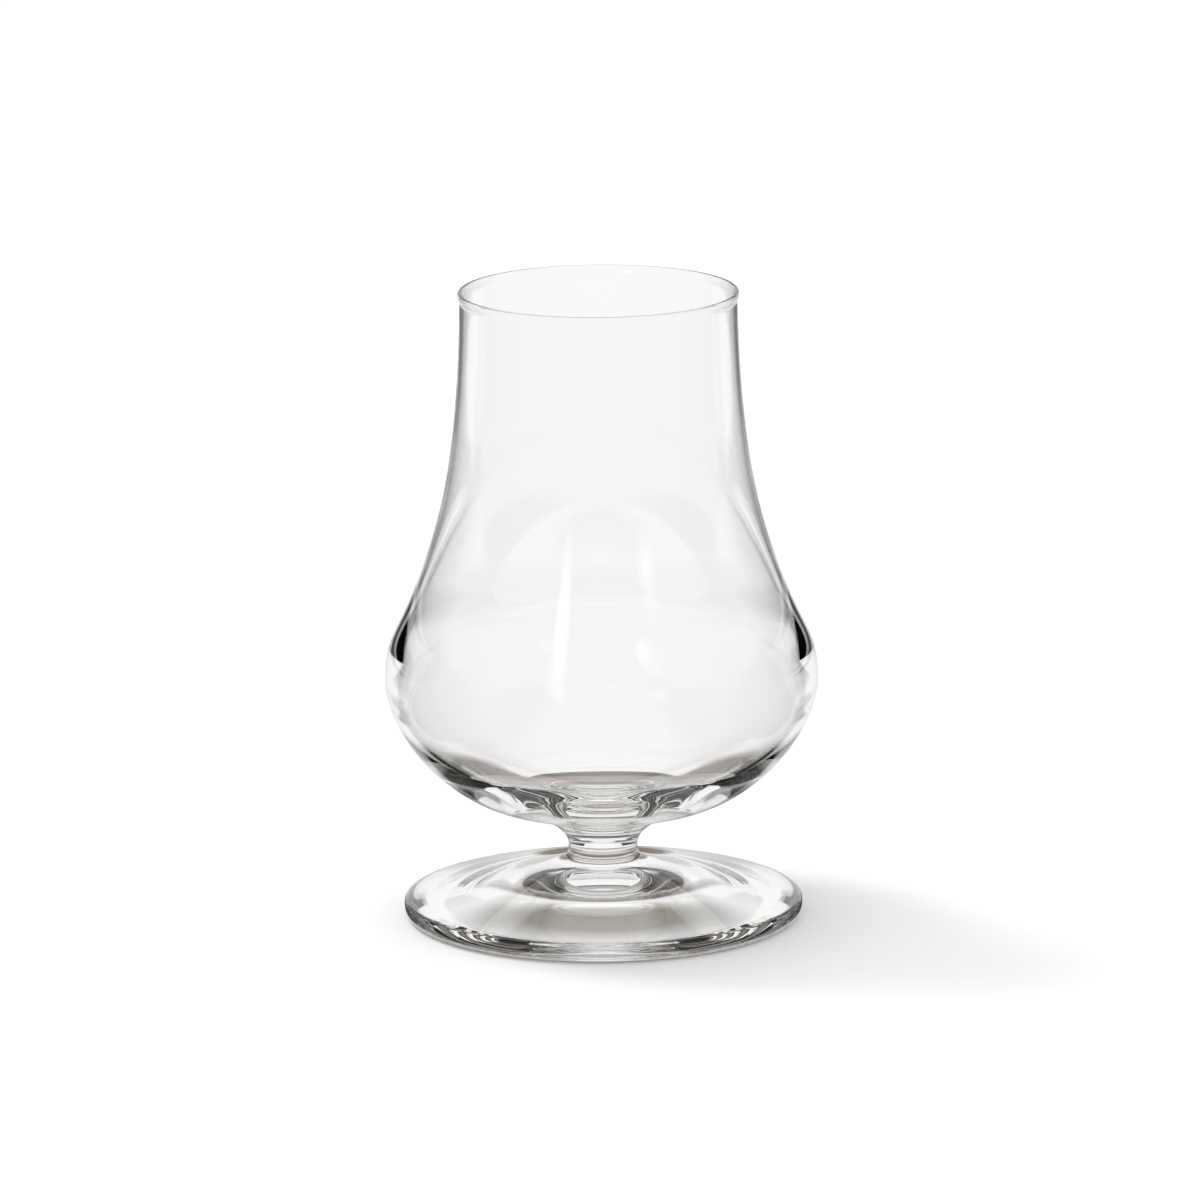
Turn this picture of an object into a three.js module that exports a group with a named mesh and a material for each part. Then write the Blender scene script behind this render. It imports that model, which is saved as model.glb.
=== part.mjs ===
// A short-stemmed wine tasting glass, in millimetres, standing on z = 0 with +Z up its axis.
// Three gathers of clear glass make it: a blown bowl, a stub of stem and a pressed foot.
// Each is a solid of revolution that ends on a flat round seam, where the next one is fused on.
import * as THREE from "three";

// Heights of the three pieces, which stack from the table up
const FOOT_HEIGHT = 10.3;
const STEM_HEIGHT = 3.7;
const BOWL_HEIGHT = 94;

// The foot: a thin shallow cone with a rounded edge, domed underneath, so it stands on a ring
const FOOT_RADIUS = 33.9;
const FOOT_EDGE_HEIGHT = 2.3;
const FOOT_SHOULDER_RISE = 1;
const FOOT_SHOULDER_INSET = 0.9;
const CONTACT_RADIUS = 31.5;
const CONTACT_WIDTH = 1.65;
const HOLLOW_DEPTH = 5.4;

// The stem: a waist between two flares
const FOOT_SEAM_RADIUS = 6.4;
const WAIST_RADIUS = 5.85;
const WAIST_HEIGHT = 1.9;
const BOWL_SEAM_RADIUS = 6.45;

// The bowl's outside, with heights from its seam
const HEEL_RADIUS = 13.77;
const HEEL_HEIGHT = 4.73;
const BELLY_RADIUS = 36.83;
const BELLY_HEIGHT = 27.07;
const SHOULDER_RADIUS = 31.21;
const SHOULDER_HEIGHT = 43.83;
const MOUTH_RADIUS = 23.45;

// The bowl's wall, its thick floor and the fire-polished bead round its rim.
// The wall is thickest at the belly and thin again at the ring below it, where the floor starts.
const FLOOR_THICKNESS = 4.8;
const FLOOR_RING_RADIUS = 29.6;
const FLOOR_RING_HEIGHT = 15.6;
const BELLY_WALL = 2.1;
const SHOULDER_WALL = 0.8;
const MOUTH_WALL = 0.6;
const RIM_RADIUS = 23.71;
const RIM_THICKNESS = 0.8;
const RIM_DEPTH = 2;

// Leans of the outlines, from straight up, with outwards positive
const { degToRad } = THREE.MathUtils;
const LEVEL = degToRad(90);
const FOOT_TOP_LEAN = degToRad(-79.6);
const FOOT_SEAM_LEAN = degToRad(-40);
const BOWL_SEAM_LEAN = degToRad(31.5);
const HEEL_LEAN = degToRad(84.2);
const SHOULDER_LEAN = degToRad(-20.4);
const MOUTH_LEAN = degToRad(-1.15);
const FLOOR_RING_LEAN = degToRad(-137);

// Each curve's two handles, as shares of the straight line between its ends
const HOLLOW_HANDLE_SHARES = [0.676, 0.141];
const FOOT_EDGE_HANDLE_SHARES = [0.5, 0.5];
const FOOT_SHOULDER_HANDLE_SHARES = [0.45, 0.4];
const FOOT_TOP_HANDLE_SHARES = [0.5, 0.06];
const STEM_HANDLE_SHARES = [0.35, 0.35];
const HEEL_HANDLE_SHARES = [0.237, 0.176];
const BELLY_HANDLE_SHARES = [0.462, 0.203];
const SHOULDER_HANDLE_SHARES = [0.401, 0.547];
const NECK_HANDLE_SHARES = [0.222, 0.575];
const BEAD_HANDLE_SHARES = [0.45, 0.45];
const LOW_WALL_HANDLE_SHARES = [0.35, 0.35];
const FLOOR_HANDLE_SHARES = [0.2, 0.2];

// Facets round the axis, and steps along each curve
const FACETS_ROUND = 56;
const HOLLOW_STEPS = 8;
const FOOT_EDGE_STEPS = 4;
const FOOT_SHOULDER_STEPS = 3;
const FOOT_TOP_STEPS = 8;
const STEM_STEPS = 4;
const HEEL_STEPS = 4;
const BELLY_STEPS = 9;
const SHOULDER_STEPS = 4;
const NECK_STEPS = 7;
const BEAD_STEPS = 3;
const RIM_ARC_STEPS = 5;
const LOW_WALL_STEPS = 3;
const FLOOR_STEPS = 7;

// The same clear soda glass throughout
const GLASS = {
  color: 0xf3f5f2,
  roughness: 0.02,
  metalness: 0,
  transparent: true,
  opacity: 0.35,
};

// A point of an outline at a radius and a height, with the way that the outline runs through it.
function knot(radius, height, lean = 0) {
  const way = new THREE.Vector2(Math.sin(lean), Math.cos(lean));
  return { at: new THREE.Vector2(radius, height), lean, way };
}

// The knot a wall's thickness inside an outer one, running back the other way.
function insideOf(outer, wall) {
  const radius = outer.at.x - wall * Math.cos(outer.lean);
  const height = outer.at.y + wall * Math.sin(outer.lean);
  return knot(radius, height, outer.lean + Math.PI);
}

// A smooth curve from one knot to the next, without its first point.
function curve(from, to, [leave_share, reach_share], steps) {
  const line = from.at.distanceTo(to.at);
  const leave = from.at.clone().addScaledVector(from.way, leave_share * line);
  const reach = to.at.clone().addScaledVector(to.way, -reach_share * line);
  return new THREE.CubicBezierCurve(from.at, leave, reach, to.at).getPoints(steps).slice(1);
}

// A closed glass solid, turned from an outline that starts and ends on the axis.
function turned(name, base, outline) {
  const geometry = new THREE.LatheGeometry(outline, FACETS_ROUND);
  const mesh = new THREE.Mesh(geometry, new THREE.MeshStandardMaterial(GLASS));
  mesh.name = name;
  mesh.position.y = base;
  return mesh;
}

function foot() {
  const hollow = knot(0, HOLLOW_DEPTH, LEVEL);
  const contactInner = knot(CONTACT_RADIUS - CONTACT_WIDTH, 0, LEVEL);
  const contactOuter = knot(CONTACT_RADIUS, 0, LEVEL);
  const edge = knot(FOOT_RADIUS, FOOT_EDGE_HEIGHT);
  const shoulder = knot(
    FOOT_RADIUS - FOOT_SHOULDER_INSET,
    FOOT_EDGE_HEIGHT + FOOT_SHOULDER_RISE,
    FOOT_TOP_LEAN,
  );
  const seam = knot(FOOT_SEAM_RADIUS, FOOT_HEIGHT, FOOT_SEAM_LEAN);
  return turned("foot", 0, [
    hollow.at,
    ...curve(hollow, contactInner, HOLLOW_HANDLE_SHARES, HOLLOW_STEPS),
    contactOuter.at,
    ...curve(contactOuter, edge, FOOT_EDGE_HANDLE_SHARES, FOOT_EDGE_STEPS),
    ...curve(edge, shoulder, FOOT_SHOULDER_HANDLE_SHARES, FOOT_SHOULDER_STEPS),
    ...curve(shoulder, seam, FOOT_TOP_HANDLE_SHARES, FOOT_TOP_STEPS),
    new THREE.Vector2(0, FOOT_HEIGHT),
  ]);
}

function stem() {
  const low = knot(FOOT_SEAM_RADIUS, 0, FOOT_SEAM_LEAN);
  const waist = knot(WAIST_RADIUS, WAIST_HEIGHT);
  const high = knot(BOWL_SEAM_RADIUS, STEM_HEIGHT, BOWL_SEAM_LEAN);
  return turned("stem", FOOT_HEIGHT, [
    new THREE.Vector2(0, 0),
    low.at,
    ...curve(low, waist, STEM_HANDLE_SHARES, STEM_STEPS),
    ...curve(waist, high, STEM_HANDLE_SHARES, STEM_STEPS),
    new THREE.Vector2(0, STEM_HEIGHT),
  ]);
}

// The bead from the outer wall over the rim to the inner wall.
function bead(outerMouth, innerMouth) {
  const radius = RIM_THICKNESS / 2;
  const outer = knot(RIM_RADIUS, BOWL_HEIGHT - radius);
  const inner = knot(RIM_RADIUS - RIM_THICKNESS, BOWL_HEIGHT - radius, Math.PI);
  const arc = new THREE.Path().absarc(RIM_RADIUS - radius, outer.at.y, radius, 0, Math.PI);
  return [
    ...curve(outerMouth, outer, BEAD_HANDLE_SHARES, BEAD_STEPS),
    ...arc.getPoints(RIM_ARC_STEPS).slice(1),
    ...curve(inner, innerMouth, BEAD_HANDLE_SHARES, BEAD_STEPS),
  ];
}

function bowl() {
  const seam = knot(BOWL_SEAM_RADIUS, 0, BOWL_SEAM_LEAN);
  const heel = knot(HEEL_RADIUS, HEEL_HEIGHT, HEEL_LEAN);
  const belly = knot(BELLY_RADIUS, BELLY_HEIGHT);
  const shoulder = knot(SHOULDER_RADIUS, SHOULDER_HEIGHT, SHOULDER_LEAN);
  const mouth = knot(MOUTH_RADIUS, BOWL_HEIGHT - RIM_DEPTH, MOUTH_LEAN);
  const innerMouth = insideOf(mouth, MOUTH_WALL);
  const innerShoulder = insideOf(shoulder, SHOULDER_WALL);
  const innerBelly = insideOf(belly, BELLY_WALL);
  const floorRing = knot(FLOOR_RING_RADIUS, FLOOR_RING_HEIGHT, FLOOR_RING_LEAN);
  const floor = knot(0, FLOOR_THICKNESS, -LEVEL);
  const back = ([leave_share, reach_share]) => [reach_share, leave_share];
  return turned("bowl", FOOT_HEIGHT + STEM_HEIGHT, [
    new THREE.Vector2(0, 0),
    seam.at,
    ...curve(seam, heel, HEEL_HANDLE_SHARES, HEEL_STEPS),
    ...curve(heel, belly, BELLY_HANDLE_SHARES, BELLY_STEPS),
    ...curve(belly, shoulder, SHOULDER_HANDLE_SHARES, SHOULDER_STEPS),
    ...curve(shoulder, mouth, NECK_HANDLE_SHARES, NECK_STEPS),
    ...bead(mouth, innerMouth),
    ...curve(innerMouth, innerShoulder, back(NECK_HANDLE_SHARES), NECK_STEPS),
    ...curve(innerShoulder, innerBelly, back(SHOULDER_HANDLE_SHARES), SHOULDER_STEPS),
    ...curve(innerBelly, floorRing, LOW_WALL_HANDLE_SHARES, LOW_WALL_STEPS),
    ...curve(floorRing, floor, FLOOR_HANDLE_SHARES, FLOOR_STEPS),
  ]);
}

// The pieces are turned about the Y axis, and the group stands them up on +Z.
const glass = new THREE.Group();
glass.add(foot(), stem(), bowl());
glass.rotation.x = Math.PI / 2;

export default glass;
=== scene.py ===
"""A short-stemmed wine tasting glass of clear soda glass, on a plain white studio floor."""
import math
from collections import namedtuple
import bpy
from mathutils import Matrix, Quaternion, Vector
from mathutils.geometry import interpolate_bezier


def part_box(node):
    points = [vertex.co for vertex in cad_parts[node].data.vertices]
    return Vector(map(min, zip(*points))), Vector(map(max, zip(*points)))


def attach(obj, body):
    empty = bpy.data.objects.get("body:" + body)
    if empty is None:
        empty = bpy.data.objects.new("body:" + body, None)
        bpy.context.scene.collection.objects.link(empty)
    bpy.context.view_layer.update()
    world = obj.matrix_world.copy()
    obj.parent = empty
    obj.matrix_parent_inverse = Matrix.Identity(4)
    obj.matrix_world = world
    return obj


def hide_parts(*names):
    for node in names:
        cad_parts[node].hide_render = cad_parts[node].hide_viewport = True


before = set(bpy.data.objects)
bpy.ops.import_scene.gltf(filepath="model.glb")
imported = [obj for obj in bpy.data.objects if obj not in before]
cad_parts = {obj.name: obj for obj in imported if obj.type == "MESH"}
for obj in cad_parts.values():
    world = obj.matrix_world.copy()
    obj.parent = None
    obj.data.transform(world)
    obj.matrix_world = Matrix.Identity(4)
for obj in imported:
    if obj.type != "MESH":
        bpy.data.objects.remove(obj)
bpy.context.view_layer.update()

MM = 0.001

# Heights and widths that the frame gives
FOOT_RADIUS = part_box("foot")[1].x
FOOT_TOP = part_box("foot")[1].z
BOWL_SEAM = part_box("bowl")[0].z
BELLY_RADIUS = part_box("bowl")[1].x
RIM_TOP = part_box("bowl")[1].z

# The foot
FOOT_EDGE_HEIGHT = 2.3 * MM
FOOT_SHOULDER_RISE = 1 * MM
FOOT_SHOULDER_INSET = 0.9 * MM
CONTACT_RADIUS = 31.5 * MM
CONTACT_WIDTH = 1.65 * MM
HOLLOW_DEPTH = 5.4 * MM

# The stem
FOOT_SEAM_RADIUS = 6.4 * MM
WAIST_RADIUS = 5.85 * MM
WAIST_RISE = 1.9 * MM
BOWL_SEAM_RADIUS = 6.45 * MM

# The bowl, with heights from its seam
HEEL_RADIUS = 13.77 * MM
HEEL_RISE = 4.73 * MM
BELLY_RISE = 27.07 * MM
SHOULDER_RADIUS = 31.21 * MM
SHOULDER_RISE = 43.83 * MM
MOUTH_RADIUS = 23.45 * MM
FLOOR_THICKNESS = 4.8 * MM
FLOOR_RING_RADIUS = 29.6 * MM
FLOOR_RING_RISE = 15.6 * MM
BELLY_WALL = 2.1 * MM
SHOULDER_WALL = 0.8 * MM
MOUTH_WALL = 0.6 * MM
RIM_RADIUS = 23.71 * MM
RIM_THICKNESS = 0.8 * MM
RIM_DEPTH = 2 * MM

# Leans of the outlines, from straight up, with outwards positive
LEVEL = math.radians(90)
FOOT_TOP_LEAN = math.radians(-79.6)
FOOT_SEAM_LEAN = math.radians(-40)
BOWL_SEAM_LEAN = math.radians(31.5)
HEEL_LEAN = math.radians(84.2)
SHOULDER_LEAN = math.radians(-20.4)
MOUTH_LEAN = math.radians(-1.15)
FLOOR_RING_LEAN = math.radians(-137)

# Each curve's two handles, as shares of the straight line between its ends
HOLLOW_HANDLE_SHARES = (0.676, 0.141)
FOOT_EDGE_HANDLE_SHARES = (0.5, 0.5)
FOOT_SHOULDER_HANDLE_SHARES = (0.45, 0.4)
FOOT_TOP_HANDLE_SHARES = (0.5, 0.06)
STEM_HANDLE_SHARES = (0.35, 0.35)
HEEL_HANDLE_SHARES = (0.237, 0.176)
BELLY_HANDLE_SHARES = (0.462, 0.203)
SHOULDER_HANDLE_SHARES = (0.401, 0.547)
NECK_HANDLE_SHARES = (0.222, 0.575)
BEAD_HANDLE_SHARES = (0.45, 0.45)
LOW_WALL_HANDLE_SHARES = (0.35, 0.35)
FLOOR_HANDLE_SHARES = (0.2, 0.2)

# How finely the outlines are turned, and how near two lengths count as the same
ROUND_STEPS = 192
LONG_CURVE_STEPS = 40
CURVE_STEPS = 24
SHORT_CURVE_STEPS = 12
TOLERANCE = 1e-7

# The glass's tint, from face on, at 0, to edge on, at 1: the faint olive of soda glass, and edge on
# a painted shade that stands in for the dark surroundings seen at the outlines. The bowl's steep
# walls go dark edge on, most of it painted shade.
GLASS_TINTS_AND_EDGE_SHADE = [(0, (1, 1, 1)), (0.7, (0.98, 0.98, 0.97)), (1, (0.6, 0.62, 0.55))]
BOWL_TINTS_AND_EDGE_SHADE = [
    (0, (1, 1, 1)), (0.62, (0.99, 0.99, 0.985)), (0.8, (0.82, 0.82, 0.79)),
    (0.93, (0.4, 0.4, 0.36)), (1, (0.1, 0.1, 0.09)),
]

# What hot work leaves on the glass: a hardly uneven polish and faint waves
GLASS_IOR = 1.52
POLISH_SCALE = 60
MOST_ROUGHNESS = 0.006
WAVES_SCALE = 90
WAVES_DETAIL = 1
WAVES_HEIGHT = 0.012 * MM

# A colour ramp from the middle of an ellipse or ellipsoid, at 0, to its edge, at 1
Spot = namedtuple("Spot", "centre radii stops")

BLACK = (0, 0, 0)
WHITE = (1, 1, 1)

# The room as the glass sees it. Its walls run by share of the half turn from behind the glass to
# the camera: a low white backdrop, dark sides and a grey front. Heights are the sine of the rise,
# and the ceiling darkens by the sine of the way to the side.
SIDE_DARK = (0.012, 0.012, 0.01)
BACKDROP_STOPS = [(0.128, (0.99, 0.99, 1)), (0.14, SIDE_DARK)]
BACKDROP_TOP_STOPS = [(0.44, BLACK), (0.5, WHITE)]
FRONT_STOPS = [(0.36, BLACK), (0.46, WHITE)]
FRONT_GREY = (0.66, 0.66, 0.66)
WALL_TOP_STOPS = [(0.5, BLACK), (0.6, WHITE)]
CEILING_STOPS = [(0.2, (0.95, 0.95, 0.96)), (0.3, (0.06, 0.06, 0.05))]

# Soft windows over the camera's left and right shoulder, in that room, and how each one glows
WINDOW_STOPS = [(0.3, WHITE), (1, BLACK)]
WINDOWS = [
    (Spot((-0.38, -0.78, 0.5), (0.08, 0.4, 0.36), WINDOW_STOPS), 1.6),
    (Spot((0.5, -0.8, 0.33), (0.1, 0.3, 0.14), WINDOW_STOPS), 0.8),
]

# The floor behind the glass, as the glass sees it: white, with two dark cards on each side, a small
# near one and a long one farther back. A card's stops run by the distance to the floor's middle
# line, and its end stops by the distance behind the glass.
PAPER_WHITE = (0.97, 0.97, 0.98)
NEAR_CARD_GREY = (0.16, 0.16, 0.15)
NEAR_CARD_STOPS = [
    (88 * MM, PAPER_WHITE), (98 * MM, NEAR_CARD_GREY), (150 * MM, NEAR_CARD_GREY),
    (165 * MM, PAPER_WHITE),
]
NEAR_CARD_END_STOPS = [(90 * MM, BLACK), (130 * MM, PAPER_WHITE)]
FAR_CARD_STOPS = [(110 * MM, WHITE), (170 * MM, (0.2, 0.2, 0.19))]
FAR_CARD_END_STOPS = [(400 * MM, WHITE), (450 * MM, BLACK), (800 * MM, BLACK), (900 * MM, WHITE)]

# The floor in front, as the glass sees it: the front wall's grey, with a dark shade on each side of
# the foot. It gives way to the floor behind along two lines that slant back from the middle.
SIDE_SHADE = Spot(
    (0, 12 * MM, 0), (75 * MM, 48 * MM, 1), [(0.77, (0.03, 0.03, 0.025)), (1, FRONT_GREY)]
)
FRONT_END_SLANT = -0.5
FRONT_END_STOPS = [(4 * MM, BLACK), (14 * MM, WHITE)]

# The shade that the glass sees under the foot, lighter round the stem, and behind the foot
FRONT_SHADE = Spot(
    (0, -13 * MM, 0), (26 * MM, 18 * MM, 1),
    [(0, (0.28, 0.265, 0.225)), (0.5, (0.33, 0.315, 0.275)), (1, (0.93, 0.93, 0.95))],
)
STEM_LIGHT = Spot(
    (0, -3 * MM, 0), (12 * MM, 12 * MM, 1),
    [
        (0, (1.6, 1.6, 1.65)), (0.55, (1.6, 1.6, 1.65)), (0.62, (1.1, 1.1, 1.1)),
        (0.7, (1.4, 1.4, 1.4)), (0.78, (0.85, 0.85, 0.8)), (1, WHITE),
    ],
)
BACK_SHADE = Spot(
    (0, 38 * MM, 0), (42 * MM, 28 * MM, 1),
    [(0, (0.2, 0.175, 0.14)), (0.75, (0.24, 0.21, 0.17)), (1, WHITE)],
)

# The floor reaches this far each way, and lies just under the foot so that they don't share a plane
FLOOR_REACH = 3
FLOOR_DROP = 0.1 * MM

# The photograph's camera
CAMERA_DISTANCE = 1511.6 * MM
CAMERA_HEIGHT = 400.4 * MM
AIM_HEIGHT = 54.65 * MM
SENSOR_WIDTH = 36
LENS = 274.8
SHIFT = -0.00075
ROLL_DEGREES = -0.5
CLIP_START = 10 * MM

# How often light may pass through glass, mirror in it, and pass through a fused seam
GLASS_BOUNCES = 32
MIRROR_BOUNCES = 16
SEAM_BOUNCES = 64


class Knot:
    """A point of an outline at a radius and a height, and the way the outline runs through it."""

    def __init__(self, radius, height, lean=0.0):
        self.at = Vector((radius, 0, height))
        self.lean = lean
        self.way = Vector((math.sin(lean), 0, math.cos(lean)))

    def inside(self, wall):
        """The knot a wall's thickness inside this one, running back the other way."""
        radius = self.at.x - wall * math.cos(self.lean)
        height = self.at.z + wall * math.sin(self.lean)
        return Knot(radius, height, self.lean + math.pi)


def curve(start, end, shares, steps):
    """A smooth curve from one knot to the next, without its first point."""
    line = (end.at - start.at).length
    leave = start.at + start.way * line * shares[0]
    reach = end.at - end.way * line * shares[1]
    return interpolate_bezier(start.at, leave, reach, end.at, steps + 1)[1:]


def back(shares):
    """A curve's handles when it is run the other way."""
    return shares[1], shares[0]


def on_axis(knot):
    """The point of the axis that is level with a knot."""
    return Vector((0, 0, knot.at.z))


def foot_outline():
    hollow = Knot(0, HOLLOW_DEPTH, LEVEL)
    contact_inner = Knot(CONTACT_RADIUS - CONTACT_WIDTH, 0, LEVEL)
    contact_outer = Knot(CONTACT_RADIUS, 0, LEVEL)
    edge = Knot(FOOT_RADIUS, FOOT_EDGE_HEIGHT)
    shoulder = Knot(
        FOOT_RADIUS - FOOT_SHOULDER_INSET, FOOT_EDGE_HEIGHT + FOOT_SHOULDER_RISE, FOOT_TOP_LEAN
    )
    seam = Knot(FOOT_SEAM_RADIUS, FOOT_TOP, FOOT_SEAM_LEAN)
    return [
        hollow.at,
        *curve(hollow, contact_inner, HOLLOW_HANDLE_SHARES, LONG_CURVE_STEPS),
        contact_outer.at,
        *curve(contact_outer, edge, FOOT_EDGE_HANDLE_SHARES, CURVE_STEPS),
        *curve(edge, shoulder, FOOT_SHOULDER_HANDLE_SHARES, SHORT_CURVE_STEPS),
        *curve(shoulder, seam, FOOT_TOP_HANDLE_SHARES, LONG_CURVE_STEPS),
        on_axis(seam),
    ]


def stem_outline():
    low = Knot(FOOT_SEAM_RADIUS, FOOT_TOP, FOOT_SEAM_LEAN)
    waist = Knot(WAIST_RADIUS, FOOT_TOP + WAIST_RISE)
    high = Knot(BOWL_SEAM_RADIUS, BOWL_SEAM, BOWL_SEAM_LEAN)
    return [
        on_axis(low),
        low.at,
        *curve(low, waist, STEM_HANDLE_SHARES, SHORT_CURVE_STEPS),
        *curve(waist, high, STEM_HANDLE_SHARES, SHORT_CURVE_STEPS),
        on_axis(high),
    ]


def bead_outline(outer_mouth, inner_mouth):
    """The fire-polished bead from the outer wall over the rim to the inner wall."""
    radius = RIM_THICKNESS / 2
    outer = Knot(RIM_RADIUS, RIM_TOP - radius)
    inner = Knot(RIM_RADIUS - RIM_THICKNESS, RIM_TOP - radius, math.pi)
    middle = outer.at - Vector((radius, 0, 0))
    turns = [math.pi * step / CURVE_STEPS for step in range(1, CURVE_STEPS + 1)]
    return [
        *curve(outer_mouth, outer, BEAD_HANDLE_SHARES, SHORT_CURVE_STEPS),
        *(middle + radius * Vector((math.cos(turn), 0, math.sin(turn))) for turn in turns),
        *curve(inner, inner_mouth, BEAD_HANDLE_SHARES, SHORT_CURVE_STEPS),
    ]


def bowl_outline():
    seam = Knot(BOWL_SEAM_RADIUS, BOWL_SEAM, BOWL_SEAM_LEAN)
    heel = Knot(HEEL_RADIUS, BOWL_SEAM + HEEL_RISE, HEEL_LEAN)
    belly = Knot(BELLY_RADIUS, BOWL_SEAM + BELLY_RISE)
    shoulder = Knot(SHOULDER_RADIUS, BOWL_SEAM + SHOULDER_RISE, SHOULDER_LEAN)
    mouth = Knot(MOUTH_RADIUS, RIM_TOP - RIM_DEPTH, MOUTH_LEAN)
    inner_mouth = mouth.inside(MOUTH_WALL)
    inner_shoulder = shoulder.inside(SHOULDER_WALL)
    inner_belly = belly.inside(BELLY_WALL)
    floor_ring = Knot(FLOOR_RING_RADIUS, BOWL_SEAM + FLOOR_RING_RISE, FLOOR_RING_LEAN)
    floor = Knot(0, BOWL_SEAM + FLOOR_THICKNESS, -LEVEL)
    return [
        on_axis(seam),
        seam.at,
        *curve(seam, heel, HEEL_HANDLE_SHARES, CURVE_STEPS),
        *curve(heel, belly, BELLY_HANDLE_SHARES, LONG_CURVE_STEPS),
        *curve(belly, shoulder, SHOULDER_HANDLE_SHARES, CURVE_STEPS),
        *curve(shoulder, mouth, NECK_HANDLE_SHARES, CURVE_STEPS),
        *bead_outline(mouth, inner_mouth),
        *curve(inner_mouth, inner_shoulder, back(NECK_HANDLE_SHARES), CURVE_STEPS),
        *curve(inner_shoulder, inner_belly, back(SHOULDER_HANDLE_SHARES), CURVE_STEPS),
        *curve(inner_belly, floor_ring, LOW_WALL_HANDLE_SHARES, CURVE_STEPS),
        *curve(floor_ring, floor, FLOOR_HANDLE_SHARES, LONG_CURVE_STEPS),
    ]


def turned(name, outline, glass, seam_glass):
    """A closed solid turned from an outline that starts and ends on the axis.

    Where the outline runs level to the axis, the face is a fused seam.
    """
    verts, rings = [], []
    for point in outline:
        start = len(verts)
        count = ROUND_STEPS if point.x > TOLERANCE else 1
        for step in range(count):
            turn = math.tau * step / ROUND_STEPS
            verts.append((point.x * math.cos(turn), point.x * math.sin(turn), point.z))
        rings.append([start + step % count for step in range(ROUND_STEPS + 1)])
    faces, in_seam = [], []
    for low, high, a, b in zip(rings, rings[1:], outline, outline[1:]):
        seam = abs(a.z - b.z) < TOLERANCE and min(a.x, b.x) < TOLERANCE
        for k in range(ROUND_STEPS):
            corners = [low[k], low[k + 1], high[k + 1], high[k]]
            faces.append(list(dict.fromkeys(corners)))
            in_seam.append(seam)
    mesh = bpy.data.meshes.new(name)
    mesh.from_pydata(verts, [], faces)
    mesh.materials.append(glass)
    mesh.materials.append(seam_glass)
    seam_edges = set()
    for face, seam in zip(mesh.polygons, in_seam):
        face.material_index = int(seam)
        face.use_smooth = not seam
        if seam:
            seam_edges.update(face.edge_keys)
    for edge in mesh.edges:
        edge.use_edge_sharp = edge.key in seam_edges
    piece = bpy.data.objects.new(name, mesh)
    bpy.context.scene.collection.objects.link(piece)
    return piece


class Tree:
    """The nodes of a material or a world, built up from none."""

    def __init__(self, owner):
        owner.use_nodes = True
        self.nodes = owner.node_tree.nodes
        self.links = owner.node_tree.links
        self.nodes.clear()

    def add(self, kind, inputs, **settings):
        """A node whose inputs, by name or number, are linked to sockets or set to values."""
        node = self.nodes.new("ShaderNode" + kind)
        for name, value in settings.items():
            setattr(node, name, value)
        for key, value in inputs.items():
            if isinstance(value, bpy.types.NodeSocket):
                self.links.new(value, node.inputs[key])
            else:
                node.inputs[key].default_value = value
        return node

    def math(self, operation, *values):
        node = self.add("Math", dict(enumerate(values)), operation=operation)
        return node.outputs["Value"]

    def vector_math(self, operation, *values):
        return self.add("VectorMath", dict(enumerate(values)), operation=operation)

    def mixed(self, share, first, second):
        """A colour that goes from first to second as share goes from 0 to 1."""
        inputs = {"Factor": share, "A": first, "B": second}
        return self.add("Mix", inputs, data_type="RGBA").outputs["Result"]

    def combined(self, blend, first, second):
        """Two colours put together by a blend such as MULTIPLY or ADD."""
        inputs = {"Factor": 1, "A": first, "B": second}
        return self.add("Mix", inputs, data_type="RGBA", blend_type=blend).outputs["Result"]

    def ramp(self, value, stops):
        """The colour that a value between 0 and 1 has on a ramp of (position, colour) stops."""
        node = self.add("ValToRGB", {"Fac": value})
        elements = node.color_ramp.elements
        while len(elements) < len(stops):
            elements.new(0.5)
        for element, (position, colour) in zip(elements, stops):
            element.position = position
            element.color = opaque(colour)
        return node.outputs["Color"]

    def ramp_along(self, distance, stops):
        """A colour ramp whose stops are at real distances."""
        start, end = stops[0][0], stops[-1][0]
        inputs = {"Value": distance, "From Min": start, "From Max": end}
        share = self.add("MapRange", inputs).outputs["Result"]
        return self.ramp(share, [((at - start) / (end - start), colour) for at, colour in stops])

    def spot(self, place, spot):
        """The colour that a place has on a Spot."""
        shift = self.vector_math("SUBTRACT", place, spot.centre).outputs["Vector"]
        scaled = self.vector_math("DIVIDE", shift, spot.radii).outputs["Vector"]
        reach = self.vector_math("LENGTH", scaled).outputs["Value"]
        return self.ramp(reach, spot.stops)


def opaque(colour):
    return (*colour, 1)


def clear_glass(name, tints_and_edge_shade):
    """Clear soda glass with the faint waves of hot work, tinted by how steeply it is seen, and
    darkened edge on by painted shade.
    """
    material = bpy.data.materials.new(name)
    tree = Tree(material)
    place = tree.add("TexCoord", {}).outputs["Object"]
    facing = tree.add("LayerWeight", {"Blend": 0.5}).outputs["Facing"]
    polish = tree.add("TexNoise", {"Vector": place, "Scale": POLISH_SCALE}).outputs["Fac"]
    roughness = tree.add("MapRange", {"Value": polish, "To Max": MOST_ROUGHNESS})
    waves = tree.add(
        "TexNoise", {"Vector": place, "Scale": WAVES_SCALE, "Detail": WAVES_DETAIL}
    )
    bump = tree.add(
        "Bump", {"Height": waves.outputs["Fac"], "Strength": 1, "Distance": WAVES_HEIGHT}
    )
    shader = tree.add("BsdfPrincipled", {
        "Base Color": tree.ramp(facing, tints_and_edge_shade),
        "Roughness": roughness.outputs["Result"],
        "IOR": GLASS_IOR,
        "Transmission Weight": 1,
        "Normal": bump.outputs["Normal"],
    })
    tree.add("OutputMaterial", {"Surface": shader.outputs["BSDF"]})
    return material


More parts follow.
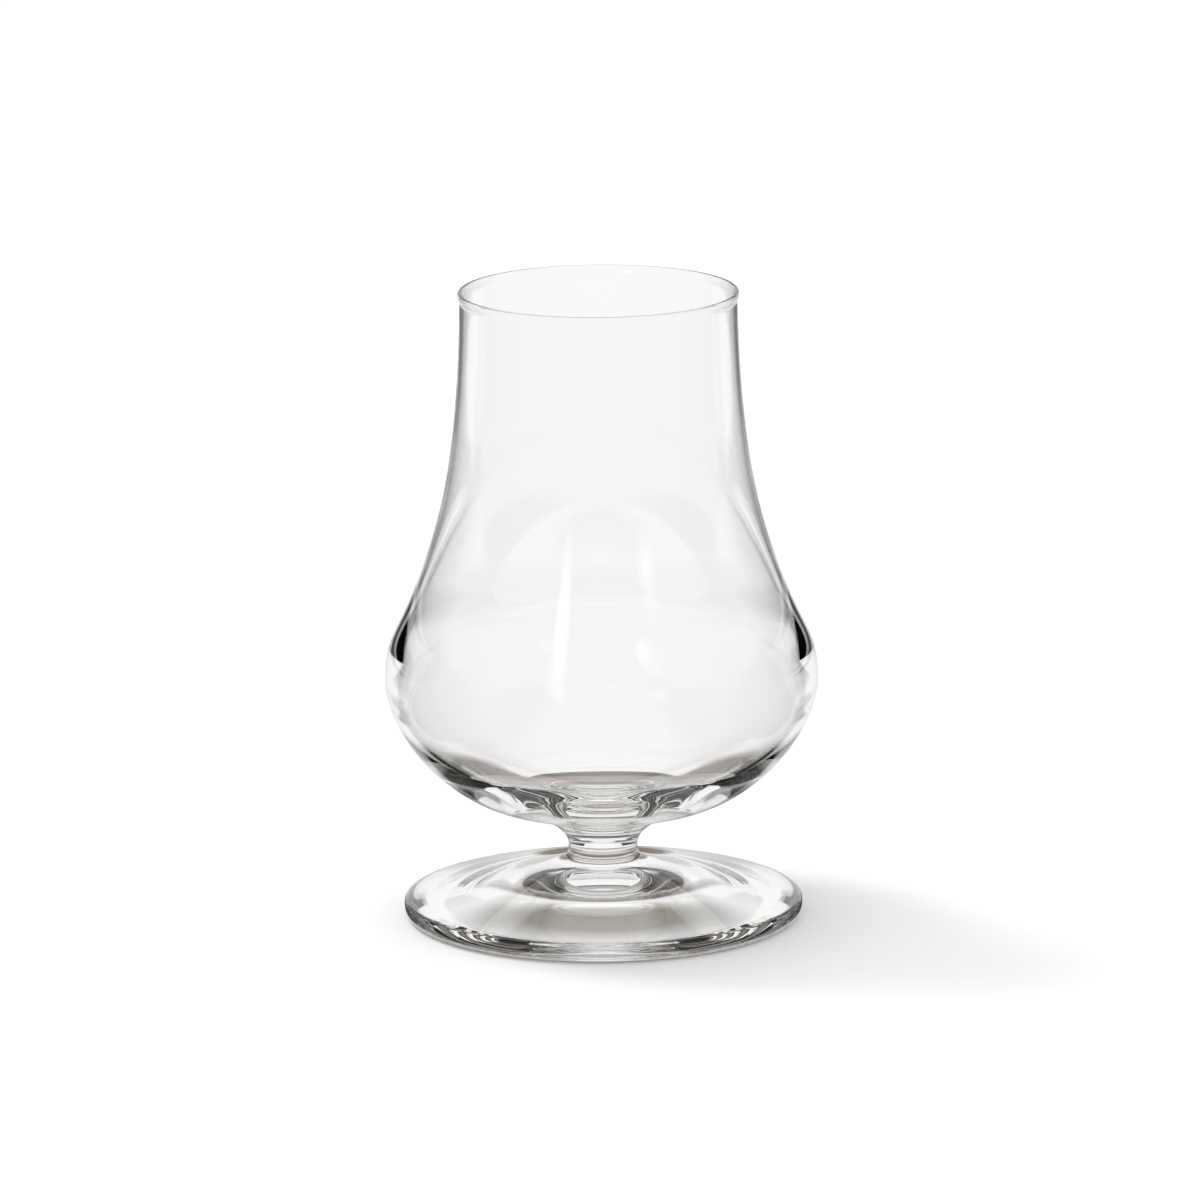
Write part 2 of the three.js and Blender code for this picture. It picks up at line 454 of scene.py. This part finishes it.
def fused_seam():
    """The face inside a fused joint, where the glass runs on and nothing is seen."""
    material = bpy.data.materials.new("fused_seam")
    tree = Tree(material)
    shader = tree.add("BsdfTransparent", {})
    tree.add("OutputMaterial", {"Surface": shader.outputs["BSDF"]})
    return material


def floor_seen_by_glass(tree, place):
    """The colour of the floor at a place, as it shows in the glass."""
    parts = tree.add("SeparateXYZ", {"Vector": place})
    sideways = tree.math("ABSOLUTE", parts.outputs["X"])
    depth = parts.outputs["Y"]
    near_cards = tree.combined(
        "LIGHTEN",
        tree.ramp_along(sideways, NEAR_CARD_STOPS), tree.ramp_along(depth, NEAR_CARD_END_STOPS),
    )
    far_cards = tree.combined(
        "LIGHTEN",
        tree.ramp_along(sideways, FAR_CARD_STOPS), tree.ramp_along(depth, FAR_CARD_END_STOPS),
    )
    behind = tree.combined("MULTIPLY", near_cards, far_cards)
    in_front = tree.spot(place, SIDE_SHADE)
    slanted_depth = tree.math("MULTIPLY_ADD", sideways, FRONT_END_SLANT, depth)
    open_floor = tree.mixed(tree.ramp_along(slanted_depth, FRONT_END_STOPS), in_front, behind)
    under_foot = tree.combined(
        "MULTIPLY", tree.spot(place, FRONT_SHADE), tree.spot(place, STEM_LIGHT)
    )
    reach = tree.vector_math("LENGTH", place).outputs["Value"]
    past_foot = tree.math("GREATER_THAN", reach, FOOT_RADIUS)
    whole_floor = tree.mixed(past_foot, under_foot, open_floor)
    return tree.combined("MULTIPLY", whole_floor, tree.spot(place, BACK_SHADE))


def studio_floor():
    """White paper, which takes the object's shadow, while glass sees it with cards and shades."""
    reach = FLOOR_REACH
    corners = [(-reach, -reach), (reach, -reach), (reach, reach), (-reach, reach)]
    mesh = bpy.data.meshes.new("studio_floor")
    mesh.from_pydata([(x, y, -FLOOR_DROP) for x, y in corners], [], [(0, 1, 2, 3)])
    floor = bpy.data.objects.new("studio_floor", mesh)
    bpy.context.scene.collection.objects.link(floor)
    material = bpy.data.materials.new("floor_paper")
    tree = Tree(material)
    paper = tree.add("BsdfDiffuse", {"Color": opaque(WHITE)})
    place = tree.add("NewGeometry", {}).outputs["Position"]
    glow = tree.add("Emission", {"Color": floor_seen_by_glass(tree, place)})
    rays = tree.add("LightPath", {}).outputs
    by_glass = tree.math("MAXIMUM", rays["Is Transmission Ray"], rays["Is Glossy Ray"])
    mix = tree.add(
        "MixShader", {"Fac": by_glass, 1: paper.outputs["BSDF"], 2: glow.outputs["Emission"]}
    )
    tree.add("OutputMaterial", {"Surface": mix.outputs["Shader"]})
    mesh.materials.append(material)


def studio_world():
    """White all round for the camera and the floor, while glass sees a room with two windows."""
    world = bpy.data.worlds.new("studio")
    bpy.context.scene.world = world
    world.cycles.sampling_method = "NONE"
    tree = Tree(world)
    place = tree.add("TexCoord", {}).outputs["Generated"]
    parts = tree.add("SeparateXYZ", {"Vector": place})
    height = parts.outputs["Z"]
    sideways = tree.math("ABSOLUTE", parts.outputs["X"])
    turn = tree.math("ARCTAN2", sideways, parts.outputs["Y"])
    half_turns = tree.math("DIVIDE", turn, math.pi)
    backdrop = tree.ramp(half_turns, BACKDROP_STOPS)
    above_backdrop = tree.ramp(height, BACKDROP_TOP_STOPS)
    walls = tree.mixed(above_backdrop, backdrop, opaque(SIDE_DARK))
    above_walls = tree.ramp(height, WALL_TOP_STOPS)
    room = tree.mixed(above_walls, walls, tree.ramp(sideways, CEILING_STOPS))
    room = tree.mixed(tree.ramp(half_turns, FRONT_STOPS), room, opaque(FRONT_GREY))
    for window, glow in WINDOWS:
        light = tree.vector_math("SCALE", tree.spot(place, window))
        light.inputs["Scale"].default_value = glow
        room = tree.combined("ADD", room, light.outputs["Vector"])
    rays = tree.add("LightPath", {}).outputs
    plain = tree.math("MAXIMUM", rays["Is Camera Ray"], rays["Is Diffuse Ray"])
    background = tree.add("Background", {"Color": tree.mixed(plain, room, opaque(WHITE))})
    tree.add("OutputWorld", {"Surface": background.outputs["Background"]})


def shadow_lamp(azimuth, elevation, distance, size, power):
    """A soft lamp for the floor alone. Azimuth 0 is behind the glass, and 90 to its right."""
    lamp = bpy.data.lights.new("shadow_lamp", "AREA")
    lamp.size = size
    lamp.energy = power
    holder = bpy.data.objects.new("shadow_lamp", lamp)
    bpy.context.scene.collection.objects.link(holder)
    turn, rise = math.radians(azimuth), math.radians(elevation)
    flat = math.cos(rise)
    way = Vector((math.sin(turn) * flat, math.cos(turn) * flat, math.sin(rise)))
    holder.location = way * distance + Vector((0, 0, AIM_HEIGHT))
    holder.rotation_mode = "QUATERNION"
    holder.rotation_quaternion = (-way).to_track_quat("-Z", "Y")
    holder.visible_camera = False
    holder.visible_glossy = False
    holder.visible_transmission = False


def photo_camera():
    camera = bpy.data.cameras.new("camera")
    camera.sensor_width = SENSOR_WIDTH
    camera.lens = LENS
    camera.shift_x = SHIFT
    camera.clip_start = CLIP_START
    holder = bpy.data.objects.new("camera", camera)
    bpy.context.scene.collection.objects.link(holder)
    holder.location = (0, -CAMERA_DISTANCE, CAMERA_HEIGHT)
    aim = Vector((0, 0, AIM_HEIGHT)) - holder.location
    roll = Quaternion((0, 0, 1), math.radians(ROLL_DEGREES))
    holder.rotation_mode = "QUATERNION"
    holder.rotation_quaternion = aim.to_track_quat("-Z", "Y") @ roll
    bpy.context.scene.camera = holder


def render_settings():
    scene = bpy.context.scene
    scene.view_settings.view_transform = "Standard"
    scene.cycles.max_bounces = GLASS_BOUNCES
    scene.cycles.transmission_bounces = GLASS_BOUNCES
    scene.cycles.glossy_bounces = MIRROR_BOUNCES
    scene.cycles.transparent_max_bounces = SEAM_BOUNCES


photo_camera()
studio_floor()
studio_world()
shadow_lamp(azimuth=-60, elevation=55, distance=1, size=0.3, power=3)
render_settings()

plain_glass = clear_glass("clear_glass", GLASS_TINTS_AND_EDGE_SHADE)
bowl_glass = clear_glass("bowl_glass", BOWL_TINTS_AND_EDGE_SHADE)
seam_glass = fused_seam()
for name, outline, glass in (
    ("foot", foot_outline(), plain_glass),
    ("stem", stem_outline(), plain_glass),
    ("bowl", bowl_outline(), bowl_glass),
):
    piece = turned("glass_" + name, outline, glass, seam_glass)
    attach(piece, "root")
    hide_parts(name)
